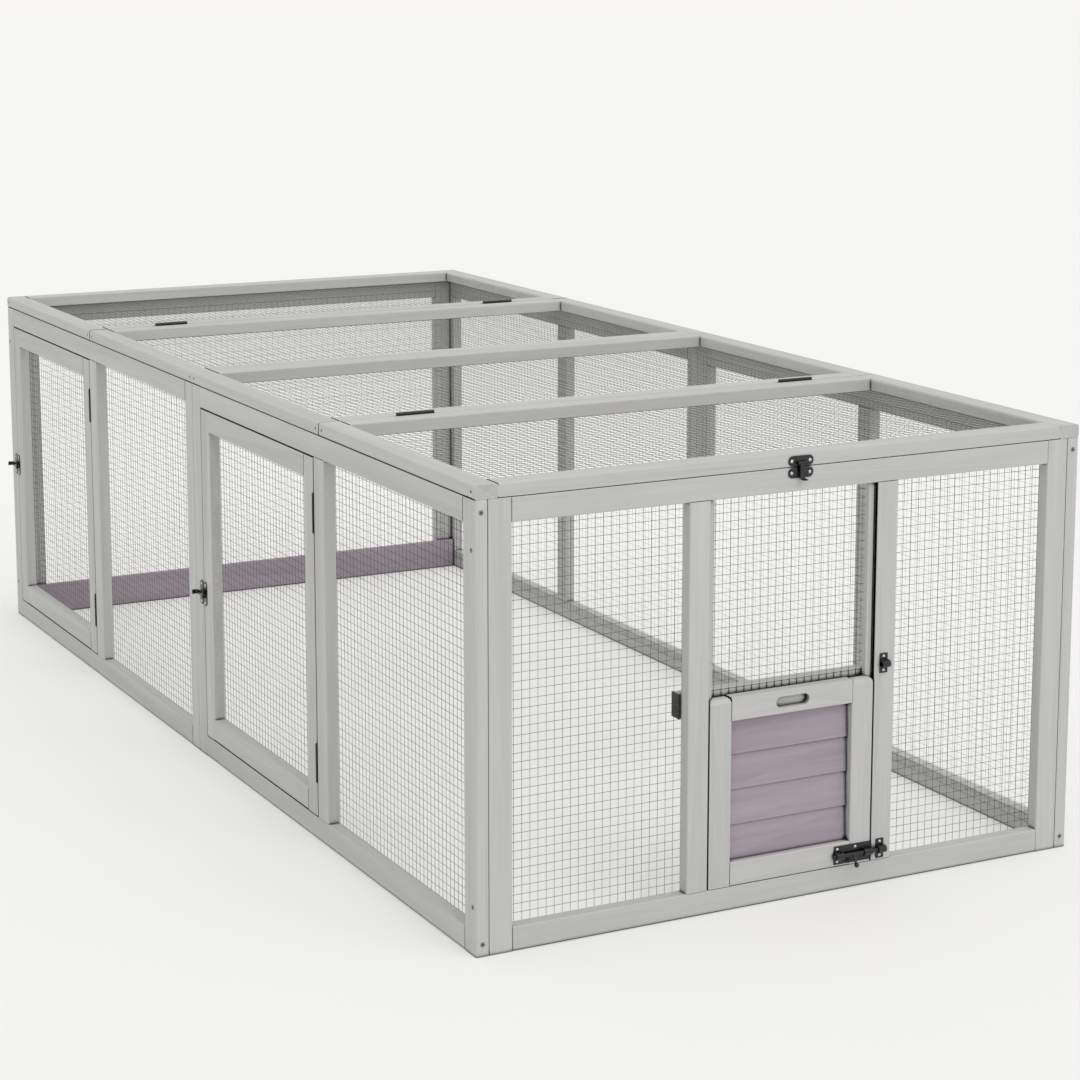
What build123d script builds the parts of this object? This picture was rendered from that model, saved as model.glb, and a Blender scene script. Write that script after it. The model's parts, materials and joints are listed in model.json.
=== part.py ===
from build123d import *
import os

# A low timber run for hens: two mesh bays in a row, two side doors, two roof lids and a sliding pop door.
# Sizes are millimetres. +X runs along the run towards the pop door, +Z is up, and the side doors are in
# the -Y side. The origin is the middle of the base.

# Overall size
LENGTH = 2150.0
WIDTH = 1000.0
WALL_HEIGHT = 635.0

# Timber sections
THICKNESS = 20.0
STILE = 36.0
RAIL = 35.0
POST = 38.0
ROOF_RAIL = 36.0
EDGE_EASE = 2.0
ROOF_EASE = 4.0

# Side frames, counted from the front end of each bay
FIXED_WINDOW = 478.0
HINGE_GAP = 3.0
DOOR_GAP = 2.0

# Roof
LID_LENGTH = 530.0
SEAT_GAP = 0.3
LID_HINGE_SPREAD = 682.0

# Pop door end
POP_CENTRE_Y = 4.0
POP_DOOR_WIDTH = 275.0
POP_DOOR_HEIGHT = 278.0
POP_DOOR_GAP = 2.0
POP_DOOR_STILE = 36.0
POP_POST = 34.0
POP_TRAVEL = 280.0
LINTEL_HEIGHT = 36.0
LINTEL_ABOVE_DOOR = 9.0
LINTEL_LAP = 1.0
CAP_THICKNESS = 2.0
CHANNEL_WIDTH = 6.0
CHANNEL_DEPTH = 7.0
CHANNEL_WALL = 0.8
CHANNEL_SETBACK = 2.0
TONGUE_CLEARANCE = 0.6
TONGUE_GRIP = 5.0
GUIDE_WIDTH = 10.0
GUIDE_THICKNESS = 11.0
GUIDE_CLEARANCE = 1.0
POP_BACK_CLEARANCE = 1.0
POP_CORNER_RADIUS = 8.0
LAP_BOARDS = 4
LAP_BACK = 8.0
LAP_FRONT = 3.0
RECESS_LENGTH = 56.0
RECESS_HEIGHT = 16.0
RECESS_DEPTH = 9.0

# Kick board inside the back end
KICK_HEIGHT = 60.0
KICK_THICKNESS = 12.0

# Welded net, drawn with wide gaps
NET_PITCH = 50.0
NET_BAR = 2.0
NET_THICKNESS = 1.0
NET_LAP = 14.0
NET_CLEARANCE = 1.0

# Butt hinges
HINGE_LENGTH = 62.0
KNUCKLES = 5
KNUCKLE_GAP = 0.4
LEAF_THICKNESS = 1.0
LEAF_DEPTH = 17.0
LID_KNUCKLE = 3.0
LID_HINGE_PIN = 1.6
LID_STAND_OFF = 2.2
DOOR_KNUCKLE = 1.9
DOOR_HINGE_PIN = 1.0
DOOR_STAND_OFF = 0.6
SIDE_HINGE_INSET = 91.0

# Hasp latches
PLATE_LENGTH = 41.0
PLATE_WIDTH = 14.0
PLATE_THICKNESS = 1.2
PLATE_INSET = 1.5
PLATE_CORNER = 6.5
ARM_WIDTH = 7.4
ARM_THICKNESS = 1.4
ARM_AXIS_INSET = 6.0
ARM_BARREL = 2.2
ARM_PIN = 1.3
LUG_RADIUS = 2.6
ARM_REACH = 13.0
TAIL_LENGTH = 10.0
TAIL_RADIUS = 4.0
LUG_WIDTH = 3.0
LUG_GAP = 0.3
NOSE_RADIUS = 1.8
NOSE_OFFSET = 8.0
NOSE_LENGTH = 8.0
LIP_DEPTH = 1.0
LIP_WIDTH = 1.8
LATCH_CLEARANCE = 0.4
FRONT_LATCH_HEIGHT = 284.0
REAR_LATCH_HEIGHT = 318.0
LID_LATCH_OFFSET = 10.0

# Barrel bolt on the pop door
BOLT_PLATE_LENGTH = 62.0
BOLT_PLATE_HEIGHT = 27.0
BOLT_HEIGHT = 52.0
BOLT_RADIUS = 3.0
BOLT_STAND_OFF = 5.6
BOLT_HOUSING = 5.2
BOLT_FRONT_GUIDE = 14.0
BOLT_BACK_GUIDE = 13.0
BOLT_TAIL = 3.0
BOLT_TIP_GAP = 0.7
KNOB_POSITION = 31.0
KNOB_STEM = 2.0
KNOB_STEM_LENGTH = 17.0
KNOB_TURN = 150.0
KNOB_RADIUS = 3.6
KEEPER_WIDTH = 13.0
KEEPER_HEIGHT = 29.0
KEEPER_OFFSET = 8.0
KEEPER_WALL = 1.5
KEEPER_CLEARANCE = 0.9
RUNNING_CLEARANCE = 0.08

# Screws
SCREW_HEAD = 3.6
SCREW_PROUD = 0.3
SCREW_SINK = 1.2
SCREW_SHANK = 1.8
SCREW_LENGTH = 30.0
CORNER_SCREW_INSET = 69.0
SMALL_HEAD = 3.1
SMALL_DOME = 1.3
SMALL_SHANK = 1.4
SMALL_LENGTH = 12.0
PLATE_SCREW_INSET = 5.5
KEEPER_SCREW_INSET = 4.5
PIN_HEAD = 1.8
PIN_LENGTH = 32.0
PIN_INSET = 10.0

# Places worked out from the sizes above
HALF_L = LENGTH / 2
HALF_W = WIDTH / 2
BAY = LENGTH / 2
NEAR_Y = (-HALF_W, -HALF_W + THICKNESS)
FAR_Y = (HALF_W - THICKNESS, HALF_W)
INSIDE_Y = (NEAR_Y[1], FAR_Y[0])
POP_X = (HALF_L - THICKNESS, HALF_L)
BACK_X = (-HALF_L, -HALF_L + THICKNESS)
WINDOW_Z = (RAIL, WALL_HEIGHT - RAIL)
ROOF_Z = (WALL_HEIGHT, WALL_HEIGHT + THICKNESS)
LID_Z = (ROOF_Z[0] + SEAT_GAP, ROOF_Z[1] + SEAT_GAP)
SPLIT_X = HALF_L - LID_LENGTH
POP_Z = (RAIL + SEAT_GAP, RAIL + SEAT_GAP + POP_DOOR_HEIGHT)
POP_Y = (POP_CENTRE_Y - POP_DOOR_WIDTH / 2, POP_CENTRE_Y + POP_DOOR_WIDTH / 2)
POST_FACE_Y = (POP_Y[0] - POP_DOOR_GAP, POP_Y[1] + POP_DOOR_GAP)
LINTEL_TOP = POP_Z[1] + LINTEL_ABOVE_DOOR
CHANNEL_X = (HALF_L - CHANNEL_SETBACK - CHANNEL_WIDTH, HALF_L - CHANNEL_SETBACK)

nodes = {}


def add(name, *shapes):
    """Puts separate solids into the node of that name."""
    nodes.setdefault(name, []).extend(shapes)


def block(x, y, z):
    """A square-edged block between two X, two Y and two Z limits."""
    low, high = Vector(x[0], y[0], z[0]), Vector(x[1], y[1], z[1])
    size = high - low
    return Location((low + high) * 0.5) * Box(size.X, size.Y, size.Z)


def board(x, y, z, ease=EDGE_EASE):
    """A straight board with its four long edges eased."""
    sides = [x[1] - x[0], y[1] - y[0], z[1] - z[0]]
    along = (Axis.X, Axis.Y, Axis.Z)[sides.index(max(sides))]
    return fillet(block(x, y, z).edges().filter_by(along), min(ease, 0.4 * min(sides)))


def net(corner, across, up, through):
    """A flat net: one face with rows of gaps, thickened along the last vector."""
    corner, across, up = Vector(corner), Vector(across), Vector(up)
    columns, rows = (max(1, round(side.length / NET_PITCH)) for side in (across, up))
    step_u, step_v = (across.length - NET_BAR) / columns, (up.length - NET_BAR) / rows
    u, v = across.normalized(), up.normalized()

    def rectangle(u0, v0, u1, v1):
        """The wire of one rectangle on the net's plane."""
        corners = [corner + u * a + v * b for a, b in ((u0, v0), (u1, v0), (u1, v1), (u0, v1))]
        return Wire.make_polygon(corners, close=True)

    gaps = []
    for column in range(columns):
        for row in range(rows):
            u0, v0 = column * step_u + NET_BAR, row * step_v + NET_BAR
            gaps.append(rectangle(u0, v0, u0 + step_u - NET_BAR, v0 + step_v - NET_BAR))
    face = Face(rectangle(0, 0, across.length, up.length), gaps)
    return Solid.extrude(face, Vector(through))


def countersunk_screw(point, outward):
    """A wood screw whose flat head stands a little proud of the face that it is driven into."""
    place = Plane(origin=point, z_dir=outward).location
    head = Pos(0, 0, (SCREW_PROUD - SCREW_SINK) / 2) * Cylinder(SCREW_HEAD, SCREW_PROUD + SCREW_SINK)
    shank = Pos(0, 0, -SCREW_LENGTH / 2) * Cylinder(SCREW_SHANK, SCREW_LENGTH)
    return place * (head + shank)


def corner_pin(point, outward):
    """A slim dark screw that holds a roof joint."""
    place = Plane(origin=point, z_dir=outward).location
    return place * (Pos(0, 0, (SCREW_PROUD - PIN_LENGTH) / 2) * Cylinder(PIN_HEAD, PIN_LENGTH + SCREW_PROUD))


def domed_screw(point, outward):
    """A small round-headed screw, placed by the top of the plate that it holds."""
    place = Plane(origin=point, z_dir=outward).location
    dome = Sphere(SMALL_HEAD) & (Pos(0, 0, SMALL_HEAD / 2) * Box(9, 9, SMALL_HEAD))
    dome = Pos(0, 0, SMALL_DOME - SMALL_HEAD) * dome
    dome = dome & (Pos(0, 0, SMALL_HEAD / 2) * Box(9, 9, SMALL_HEAD))
    shank = Pos(0, 0, (SMALL_DOME / 2 - SMALL_LENGTH) / 2) * Cylinder(SMALL_SHANK, SMALL_LENGTH + SMALL_DOME / 2)
    return place * (dome + shank)


# Side frames

def side_frame(side, y, front_x):
    """One bay of a long side: two stiles, two rails and the mid post, from its front end."""
    back_x = front_x - BAY
    add(f"{side}_side_stiles",
        board((front_x - STILE, front_x), y, (0, WALL_HEIGHT)),
        board((back_x, back_x + STILE), y, (0, WALL_HEIGHT)))
    for z in ((0, RAIL), (WALL_HEIGHT - RAIL, WALL_HEIGHT)):
        add(f"{side}_side_rails", board((back_x + STILE, front_x - STILE), y, z))
    post_front = front_x - STILE - FIXED_WINDOW
    add("side_mid_posts", board((post_front - POST, post_front), y, WINDOW_Z))


def side_nets(front_x):
    """The net of one fixed near window, and the net that covers one whole far bay."""
    height = WINDOW_Z[1] - WINDOW_Z[0] + 2 * NET_LAP
    post_front = front_x - STILE - FIXED_WINDOW
    low = WINDOW_Z[0] - NET_LAP
    add("near_side_mesh",
        net((post_front - NET_LAP, NEAR_Y[1], low), (FIXED_WINDOW + 2 * NET_LAP, 0, 0), (0, 0, height),
            (0, NET_THICKNESS, 0)))
    far_length = BAY - 2 * STILE + 2 * NET_LAP
    add("far_side_mesh",
        net((front_x - BAY + STILE - NET_LAP, FAR_Y[0], low), (far_length, 0, 0), (0, 0, height),
            (0, -NET_THICKNESS, 0)))


# End frames

def end_stiles(x):
    """The two corner stiles of an end frame, between the side frames."""
    add("end_stiles",
        board(x, (INSIDE_Y[0], INSIDE_Y[0] + STILE), (0, WALL_HEIGHT)),
        board(x, (INSIDE_Y[1] - STILE, INSIDE_Y[1]), (0, WALL_HEIGHT)))


RAIL_Y = (INSIDE_Y[0] + STILE, INSIDE_Y[1] - STILE)


def pop_end():
    """The pop door end: rails, grooved posts, guide strips, channels, lintel and three nets."""
    end_stiles(POP_X)
    for z in ((0, RAIL), (WALL_HEIGHT - RAIL, WALL_HEIGHT)):
        add("pop_end_rails", board(POP_X, RAIL_Y, z))
    for side, face in ((-1, POST_FACE_Y[0]), (1, POST_FACE_Y[1])):
        grooved_post(side, face)
    lintel_z = (LINTEL_TOP - LINTEL_HEIGHT, LINTEL_TOP)
    lintel_x = (POP_X[0] - NET_THICKNESS - THICKNESS, POP_X[0] - NET_THICKNESS)
    lintel_y = (POST_FACE_Y[0] - POP_POST - LINTEL_LAP, POST_FACE_Y[1] + POP_POST + LINTEL_LAP)
    add("pop_door_lintel", board(lintel_x, lintel_y, lintel_z))
    for face, way in ((lintel_y[0], -1), (lintel_y[1], 1)):
        cap_y = sorted((face, face + way * CAP_THICKNESS))
        add("lintel_end_caps", block(lintel_x, cap_y, lintel_z))
    pop_nets()


def grooved_post(side, face):
    """A post beside the pop door, with the steel channel in its groove and the strip behind the door."""
    y = sorted((face, face + side * POP_POST))
    groove_y = sorted((face, face + side * CHANNEL_DEPTH))
    groove = block(CHANNEL_X, groove_y, WINDOW_Z)
    add("pop_end_posts", board(POP_X, y, WINDOW_Z) - groove)
    slot_x = (CHANNEL_X[0] + CHANNEL_WALL, CHANNEL_X[1] - CHANNEL_WALL)
    slot_y = sorted((face - side * CHANNEL_WALL, face + side * (CHANNEL_DEPTH - CHANNEL_WALL)))
    add("pop_door_channels", groove - block(slot_x, slot_y, WINDOW_Z))
    strip_y = sorted((face, face - side * GUIDE_WIDTH))
    add("pop_door_guide_strips", board((POP_X[0], POP_X[0] + GUIDE_THICKNESS), strip_y, WINDOW_Z))


def pop_nets():
    """The nets left, right and above the pop door, on the inside of the end frame."""
    low, high = WINDOW_Z[0] - NET_LAP, WINDOW_Z[1] + NET_LAP
    edges = (INSIDE_Y[0] + STILE - NET_LAP, POST_FACE_Y[0] - POP_POST + NET_LAP,
             POST_FACE_Y[1] + POP_POST - NET_LAP, INSIDE_Y[1] - STILE + NET_LAP)
    door_edges = (POST_FACE_Y[0] - POP_POST + NET_LAP + NET_CLEARANCE,
                  POST_FACE_Y[1] + POP_POST - NET_LAP - NET_CLEARANCE)
    spans = (((edges[0], edges[1]), low), ((edges[2], edges[3]), low), (door_edges, LINTEL_TOP - NET_LAP))
    for (y0, y1), z0 in spans:
        add("pop_end_mesh", net((POP_X[0], y0, z0), (0, y1 - y0, 0), (0, 0, high - z0), (-NET_THICKNESS, 0, 0)))


def back_end():
    """The plain end: rails, one net and the coloured kick board inside it."""
    end_stiles(BACK_X)
    for z in ((0, RAIL), (WALL_HEIGHT - RAIL, WALL_HEIGHT)):
        add("back_end_rails", board(BACK_X, RAIL_Y, z))
    low, high = WINDOW_Z[0] - NET_LAP, WINDOW_Z[1] + NET_LAP
    y0, y1 = RAIL_Y[0] - NET_LAP, RAIL_Y[1] + NET_LAP
    add("back_end_mesh", net((BACK_X[1], y0, low), (0, y1 - y0, 0), (0, 0, high - low), (NET_THICKNESS, 0, 0)))
    kick_x = (BACK_X[1] + NET_THICKNESS, BACK_X[1] + NET_THICKNESS + KICK_THICKNESS)
    kick_y = (INSIDE_Y[0] + NET_THICKNESS + NET_CLEARANCE, INSIDE_Y[1] - NET_THICKNESS - NET_CLEARANCE)
    add("back_end_kick_board", board(kick_x, kick_y, (0, KICK_HEIGHT)))


# Roof sections

def roof_section(frame_nodes, net_node, x, z):
    """One flat roof section: two side rails, two cross rails between them and the net beneath."""
    side_node, cross_node = frame_nodes
    for y in ((-HALF_W, -HALF_W + ROOF_RAIL), (HALF_W - ROOF_RAIL, HALF_W)):
        add(side_node, board(x, y, z, ROOF_EASE))
    for cross_x in ((x[0], x[0] + ROOF_RAIL), (x[1] - ROOF_RAIL, x[1])):
        add(cross_node, board(cross_x, (-HALF_W + ROOF_RAIL, HALF_W - ROOF_RAIL), z))
    inner_x = (max(x[0] + ROOF_RAIL - NET_LAP, BACK_X[1] + NET_CLEARANCE),
               min(x[1] - ROOF_RAIL + NET_LAP, POP_X[0] - NET_CLEARANCE))
    inner_y = (-HALF_W + ROOF_RAIL - NET_LAP, HALF_W - ROOF_RAIL + NET_LAP)
    add(net_node, net((inner_x[0], inner_y[0], z[0]), (inner_x[1] - inner_x[0], 0, 0),
                      (0, inner_y[1] - inner_y[0], 0), (0, 0, -NET_THICKNESS)))


def roof_pins(node, x, z):
    """The dark screws through the side rails of one roof section, near its ends."""
    height = (z[0] + z[1]) / 2
    for side in (-1, 1):
        for cross in (x[0] + PIN_INSET, x[1] - PIN_INSET):
            add(node, corner_pin((cross, side * HALF_W, height), (0, side, 0)))


# Hinges: local x runs from the moving part to the fixed part, y goes into the gap, z is the axis

def hinge(plane, fixed_node, moving_node, knuckle, pin):
    """A butt hinge: two leaves in the gap between two boards, their knuckles and the pin."""
    segment = HINGE_LENGTH / KNUCKLES
    for node, side, parity in ((fixed_node, 1, 0), (moving_node, -1, 1)):
        near, far = HINGE_GAP / 2 - LEAF_THICKNESS, HINGE_GAP / 2
        x = sorted((side * near, side * far))
        start = knuckle + KNUCKLE_GAP
        leaf = block(x, (start, start + LEAF_DEPTH), (-HINGE_LENGTH / 2, HINGE_LENGTH / 2))
        for index in range(parity, KNUCKLES, 2):
            low = -HINGE_LENGTH / 2 + index * segment + KNUCKLE_GAP / 2
            high = low + segment - KNUCKLE_GAP
            leaf += block(x, (0, start), (low, high))
            leaf += Pos(0, 0, (low + high) / 2) * Cylinder(knuckle, high - low)
        leaf -= Cylinder(pin + RUNNING_CLEARANCE, HINGE_LENGTH + 1)
        add(node, plane.location * leaf)
    add("hinge_pins", plane.location * Cylinder(pin, HINGE_LENGTH))


# Latches: local x crosses the gap from the moving part to the fixed part, y is outward, z is the arm's axis

def latch(plane, name):
    """A hasp latch: a plate with a swinging arm, and a keeper plate with a nose that the arm snaps over."""
    place = plane.location
    for node, start in ((f"{name}_latch_plate", -PLATE_INSET - PLATE_WIDTH), ("latch_keepers", PLATE_INSET)):
        plate = block((start, start + PLATE_WIDTH), (0, PLATE_THICKNESS), (-PLATE_LENGTH / 2, PLATE_LENGTH / 2))
        plate = fillet(plate.edges().filter_by(Axis.Y), PLATE_CORNER)
        if node == "latch_keepers":
            nose = Pos(NOSE_OFFSET, PLATE_THICKNESS, 0) * Cylinder(NOSE_RADIUS, NOSE_LENGTH)
            plate += nose & block((0, PLATE_WIDTH), (0, 2 * PLATE_WIDTH), (-NOSE_LENGTH, NOSE_LENGTH))
        else:
            plate += latch_lugs()
        add(node, place * plate)
        screws = "keeper_screws" if node == "latch_keepers" else f"{name}_screws"
        for end in (-1, 1):
            at = (start + PLATE_WIDTH / 2, PLATE_THICKNESS, end * (PLATE_LENGTH / 2 - PLATE_SCREW_INSET))
            add(screws, place * domed_screw(at, (0, 1, 0)))
    add(f"{name}_latch_arm", place * latch_arm())
    pin_length = ARM_WIDTH + 2 * (LUG_WIDTH + LUG_GAP)
    add(f"{name}_latch_plate", place * (Pos(-ARM_AXIS_INSET, ARM_AXIS_OUT, 0) * Cylinder(ARM_PIN, pin_length)))


ARM_AXIS_OUT = PLATE_THICKNESS + LUG_RADIUS
ARM_LEVEL = PLATE_THICKNESS + NOSE_RADIUS + LATCH_CLEARANCE + LIP_DEPTH + ARM_THICKNESS / 2


def latch_lugs():
    """The two lugs on the plate that carry the arm's pin."""
    lugs = None
    for side in (-1, 1):
        centre = side * (ARM_WIDTH / 2 + LUG_GAP + LUG_WIDTH / 2)
        z = (centre - LUG_WIDTH / 2, centre + LUG_WIDTH / 2)
        lug = Pos(-ARM_AXIS_INSET, ARM_AXIS_OUT, centre) * Cylinder(LUG_RADIUS, LUG_WIDTH)
        lug += block((-ARM_AXIS_INSET - LUG_RADIUS, -ARM_AXIS_INSET + LUG_RADIUS), (0, ARM_AXIS_OUT), z)
        lug -= Pos(-ARM_AXIS_INSET, ARM_AXIS_OUT, centre) * Cylinder(ARM_PIN, LUG_WIDTH)
        lugs = lug if lugs is None else lugs + lug
    return lugs


def latch_arm():
    """The arm: a barrel round the pin, a flat strip over the nose, a lip past it and a thumb tail."""
    start = Vector(-ARM_AXIS_INSET, ARM_LEVEL)
    elbow = Vector(ARM_REACH, ARM_LEVEL)
    bend_end = elbow + Vector(TAIL_RADIUS, TAIL_RADIUS)
    tip = bend_end + Vector(0, TAIL_LENGTH - TAIL_RADIUS)
    path = Line(start, elbow) + JernArc(elbow, (1, 0), TAIL_RADIUS, 90) + Line(bend_end, tip)
    arm = extrude(trace(path, ARM_THICKNESS), ARM_WIDTH / 2, both=True)
    lip_x = NOSE_OFFSET + NOSE_RADIUS + LATCH_CLEARANCE
    lip_y = ARM_LEVEL - ARM_THICKNESS / 2
    arm += block((lip_x, lip_x + LIP_WIDTH), (lip_y - LIP_DEPTH, lip_y + ARM_THICKNESS / 2),
                 (-ARM_WIDTH / 2, ARM_WIDTH / 2))
    barrel = Pos(-ARM_AXIS_INSET, ARM_AXIS_OUT, 0)
    arm += barrel * Cylinder(ARM_BARREL, ARM_WIDTH)
    return arm - barrel * Cylinder(ARM_PIN + RUNNING_CLEARANCE, ARM_WIDTH + 1)


# Side doors

def side_door(name, front_x, latch_height):
    """A mesh door hung on the mid post of one near bay."""
    post_back = front_x - STILE - FIXED_WINDOW - POST
    x = (front_x - BAY + STILE + DOOR_GAP, post_back - HINGE_GAP)
    z = (WINDOW_Z[0] + DOOR_GAP, WINDOW_Z[1] - DOOR_GAP)
    for stile_x in ((x[0], x[0] + STILE), (x[1] - STILE, x[1])):
        add(f"{name}_frame", board(stile_x, NEAR_Y, z))
    for rail_z in ((z[0], z[0] + RAIL), (z[1] - RAIL, z[1])):
        add(f"{name}_frame", board((x[0] + STILE, x[1] - STILE), NEAR_Y, rail_z))
    window = (x[0] + STILE - NET_LAP, x[1] - STILE + NET_LAP, z[0] + RAIL - NET_LAP, z[1] - RAIL + NET_LAP)
    add(f"{name}_mesh", net((window[0], NEAR_Y[1], window[2]), (window[1] - window[0], 0, 0),
                            (0, 0, window[3] - window[2]), (0, NET_THICKNESS, 0)))
    hinge_x = post_back - HINGE_GAP / 2
    for height in (SIDE_HINGE_INSET + HINGE_LENGTH / 2, WALL_HEIGHT - SIDE_HINGE_INSET - HINGE_LENGTH / 2):
        plane = Plane(origin=(hinge_x, -HALF_W - DOOR_STAND_OFF, height), x_dir=(1, 0, 0), z_dir=(0, 0, 1))
        hinge(plane, "fixed_hinge_leaves", f"{name}_hinge_leaves", DOOR_KNUCKLE, DOOR_HINGE_PIN)
    gap_x = x[0] - DOOR_GAP / 2
    latch(Plane(origin=(gap_x, -HALF_W, latch_height), x_dir=(-1, 0, 0), z_dir=(0, 0, 1)), name)


# Roof lids

def roof_lid(name, way):
    """A hinged roof lid at the front end (way 1) or the back end (way -1)."""
    x = sorted((way * (SPLIT_X + HINGE_GAP / 2), way * HALF_L))
    roof_section((f"{name}_frame", f"{name}_frame"), f"{name}_mesh", x, LID_Z)
    for side in (-1, 1):
        origin = (way * SPLIT_X, side * LID_HINGE_SPREAD / 2, ROOF_Z[1] + LID_STAND_OFF)
        hinge(Plane(origin=origin, x_dir=(-way, 0, 0), z_dir=(0, -way, 0)), "fixed_hinge_leaves",
              f"{name}_hinge_leaves", LID_KNUCKLE, LID_HINGE_PIN)
    origin = (way * HALF_L, way * LID_LATCH_OFFSET, ROOF_Z[0] + SEAT_GAP / 2)
    latch(Plane(origin=origin, x_dir=(0, 0, -1), z_dir=(0, -way, 0)), name)
    roof_pins(f"{name}_screws", x, LID_Z)


# Pop door

def pop_door():
    """The sliding pop door: tongued stiles, rails, lapped boards and its barrel bolt."""
    for side in (-1, 1):
        add("pop_door_frame", pop_stile(side))
    rail_y = (POP_Y[0] + POP_DOOR_STILE, POP_Y[1] - POP_DOOR_STILE)
    rail_x = (POP_X[0] + POP_BACK_CLEARANCE, POP_X[1])
    add("pop_door_frame", board(rail_x, rail_y, (POP_Z[0], POP_Z[0] + RAIL)))
    top = board(rail_x, rail_y, (POP_Z[1] - RAIL, POP_Z[1]))
    add("pop_door_frame", top - finger_recess())
    panel_z = (POP_Z[0] + RAIL, POP_Z[1] - RAIL)
    height = (panel_z[1] - panel_z[0]) / LAP_BOARDS
    back = rail_x[0]
    for index in range(LAP_BOARDS):
        low, high = panel_z[0] + index * height, panel_z[0] + (index + 1) * height
        outline = Polyline((back, low), (back + LAP_BACK, low), (back + LAP_BACK - LAP_FRONT, high),
                           (back, high), close=True)
        section = Plane(origin=(0, rail_y[1], 0), x_dir=(1, 0, 0), z_dir=(0, -1, 0)) * make_face(outline)
        add("pop_door_boards", extrude(section, rail_y[1] - rail_y[0], dir=(0, -1, 0)))
    barrel_bolt()


def pop_stile(side):
    """A stile of the pop door: thinned behind for the guide strip, with a tongue for the channel."""
    edge = POP_Y[1] if side > 0 else POP_Y[0]
    y = sorted((edge, edge - side * POP_DOOR_STILE))
    x = (POP_X[0] + POP_BACK_CLEARANCE, POP_X[1])
    stile = board(x, y, POP_Z)
    corner = stile.edges().filter_by(Axis.X).group_by(Axis.Z)[-1].sort_by(Axis.Y)[-1 if side > 0 else 0]
    stile = fillet(corner, POP_CORNER_RADIUS)
    rebate_y = sorted((edge + side, edge - side * (GUIDE_WIDTH - POP_DOOR_GAP + GUIDE_CLEARANCE)))
    stile -= block((x[0] - 1, POP_X[0] + GUIDE_THICKNESS + GUIDE_CLEARANCE), rebate_y,
                   (POP_Z[0] - 1, POP_Z[1] + 1))
    tongue_x = (CHANNEL_X[0] + CHANNEL_WALL + TONGUE_CLEARANCE, CHANNEL_X[1] - CHANNEL_WALL - TONGUE_CLEARANCE)
    tongue_y = sorted((edge - side * EDGE_EASE, edge + side * (POP_DOOR_GAP + TONGUE_GRIP)))
    return stile + block(tongue_x, tongue_y, (POP_Z[0], POP_Z[1] - POP_CORNER_RADIUS))


def finger_recess():
    """The blind obround recess in the pop door's top rail, for lifting it."""
    plane = Plane(origin=(HALF_L, POP_CENTRE_Y, POP_Z[1] - RAIL / 2), x_dir=(0, 1, 0), z_dir=(1, 0, 0))
    return extrude(plane * SlotOverall(RECESS_LENGTH, RECESS_HEIGHT), RECESS_DEPTH, dir=(-1, 0, 0))


def tunnel(y, z_centre, inner, wall):
    """A round-topped tunnel along Y on the front face, open through its length for the bolt."""
    outer = inner + wall
    axis_x = HALF_L + BOLT_STAND_OFF
    across = Pos(axis_x, (y[0] + y[1]) / 2, z_centre) * Rot(90, 0, 0)
    body = across * Cylinder(outer, y[1] - y[0])
    body += block((HALF_L, axis_x), y, (z_centre - outer, z_centre + outer))
    bore = across * Cylinder(inner, y[1] - y[0] + 2)
    bore += block((HALF_L + PLATE_THICKNESS, axis_x), (y[0] - 1, y[1] + 1), (z_centre - inner, z_centre + inner))
    return body - bore


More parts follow.
